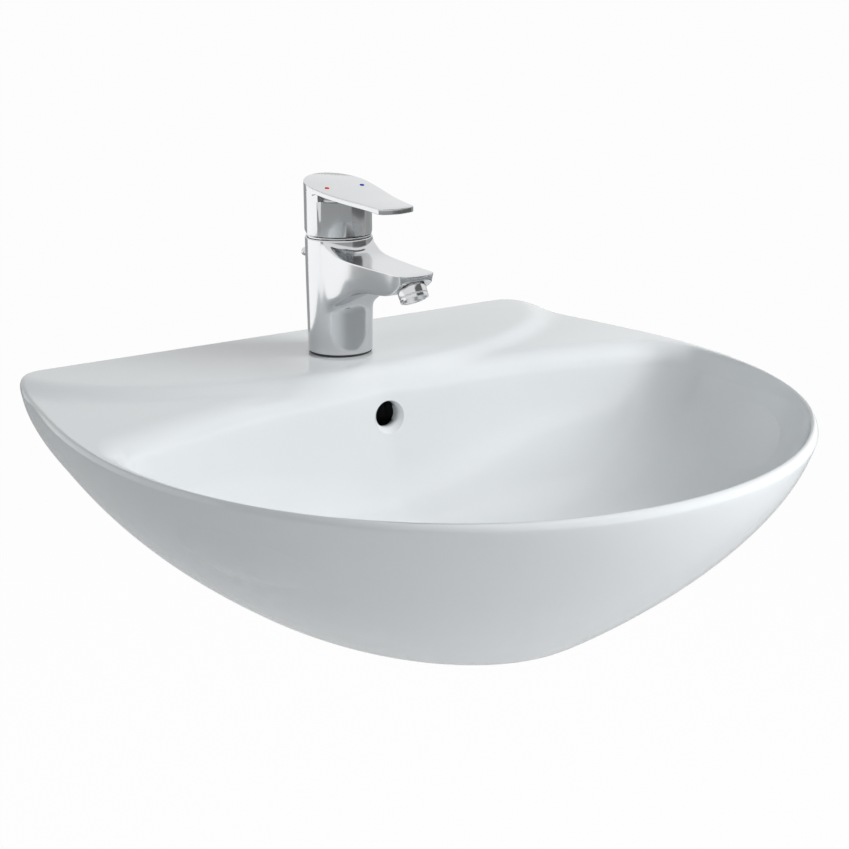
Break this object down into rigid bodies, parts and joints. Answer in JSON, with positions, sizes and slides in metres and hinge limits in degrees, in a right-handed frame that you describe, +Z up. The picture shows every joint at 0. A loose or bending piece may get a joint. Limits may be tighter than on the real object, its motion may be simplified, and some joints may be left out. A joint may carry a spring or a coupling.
{
  "type": "wall-hung basin with mixer tap",
  "caption": "Wall-hung ceramic basin with a raised tap deck, single-lever mixer, overflow and rod-lifted pop-up waste.",
  "frame": {"origin": "on the wall face, on the centre line, at the height of the rim", "axes": "+X to the right of someone who faces the basin, +Y into the wall, +Z up; the basin stands out from the wall towards -Y"},
  "size_m": [0.542, 0.504, 0.3496],
  "materials": {
    "glaze": "glossy white glaze",
    "chrome": "polished chrome plate",
    "steel": "plain zinc-plated steel",
    "brass": "turned brass",
    "rubber": "matt black rubber",
    "white_plastic": "satin white moulding",
    "grey_plastic": "satin grey moulding",
    "disc_ceramic": "lapped white ceramic",
    "red_mark": "glossy red dot",
    "blue_mark": "glossy blue dot"
  },
  "bodies": {
    "basin_set": {"basin": "glaze", "wall_stud_left": "steel", "wall_stud_right": "steel", "wall_bush_left": "white_plastic", "wall_bush_right": "white_plastic", "wall_washer_left": "steel", "wall_washer_right": "steel", "wall_nut_left": "steel", "wall_nut_right": "steel", "base_gasket": "rubber", "tap_body": "chrome", "aerator_housing": "chrome", "aerator_insert": "grey_plastic", "aerator_washer": "rubber", "cover_ring": "chrome", "cartridge_nut": "brass", "cartridge_body": "white_plastic", "fixed_disc": "disc_ceramic", "hot_supply_tube": "brass", "cold_supply_tube": "brass", "tap_stud": "steel", "rubber_horseshoe": "rubber", "steel_horseshoe": "steel", "tap_nut": "brass", "waste_body": "chrome", "flange_seal": "rubber", "cone_washer": "rubber", "back_nut": "brass", "pivot_nut": "white_plastic", "ball_seat": "white_plastic"},
    "rotor": {"cartridge_rotor": "grey_plastic", "spindle_pin": "steel"},
    "lever": {"lever_handle": "chrome", "lever_screw": "steel", "lever_plug": "chrome", "hot_dot": "red_mark", "cold_dot": "blue_mark", "cartridge_spindle": "steel"},
    "valve_disc": {"moving_disc": "disc_ceramic"},
    "lift_rod_set": {"lift_rod": "chrome", "rod_knob": "chrome", "clevis_strap": "steel", "strap_screw": "steel"},
    "pivot_rod_set": {"pivot_rod": "steel", "spring_clip": "steel"},
    "plug": {"pop_up_plug": "chrome", "plug_seal": "rubber"}
  },
  "joints": [
    {"name": "lever_swivel", "type": "hinge", "parent": "basin_set", "child": "rotor", "pos_m": [0, -0.085, 0.0968], "axis": [0, 0, 1], "range_deg": [-45, 45]},
    {"name": "lever_lift", "type": "hinge", "parent": "rotor", "child": "lever", "pos_m": [0, -0.085, 0.0968], "axis": [-1, 0, 0], "range_deg": [0, 15]},
    {"name": "disc_slide", "type": "slide", "parent": "rotor", "child": "valve_disc", "axis": [0, -1, 0], "range_m": [0, 0.0063]},
    {"name": "rod_lift", "type": "slide", "parent": "basin_set", "child": "lift_rod_set", "axis": [0, 0, 1], "range_m": [0, 0.015]},
    {"name": "pivot_turn", "type": "hinge", "parent": "basin_set", "child": "pivot_rod_set", "pos_m": [0, -0.22, -0.1772], "axis": [1, 0, 0], "range_deg": [0, 12.4]},
    {"name": "plug_drop", "type": "slide", "parent": "basin_set", "child": "plug", "axis": [0, 0, -1], "range_m": [0, 0.0065]}
  ],
  "couplings": [
    {"joint": "disc_slide", "follows": "lever_lift", "m_per_rad": 0.0237},
    {"joint": "pivot_turn", "follows": "rod_lift", "rad_per_m": 14.286},
    {"joint": "plug_drop", "follows": "rod_lift", "ratio": 0.42857}
  ]
}
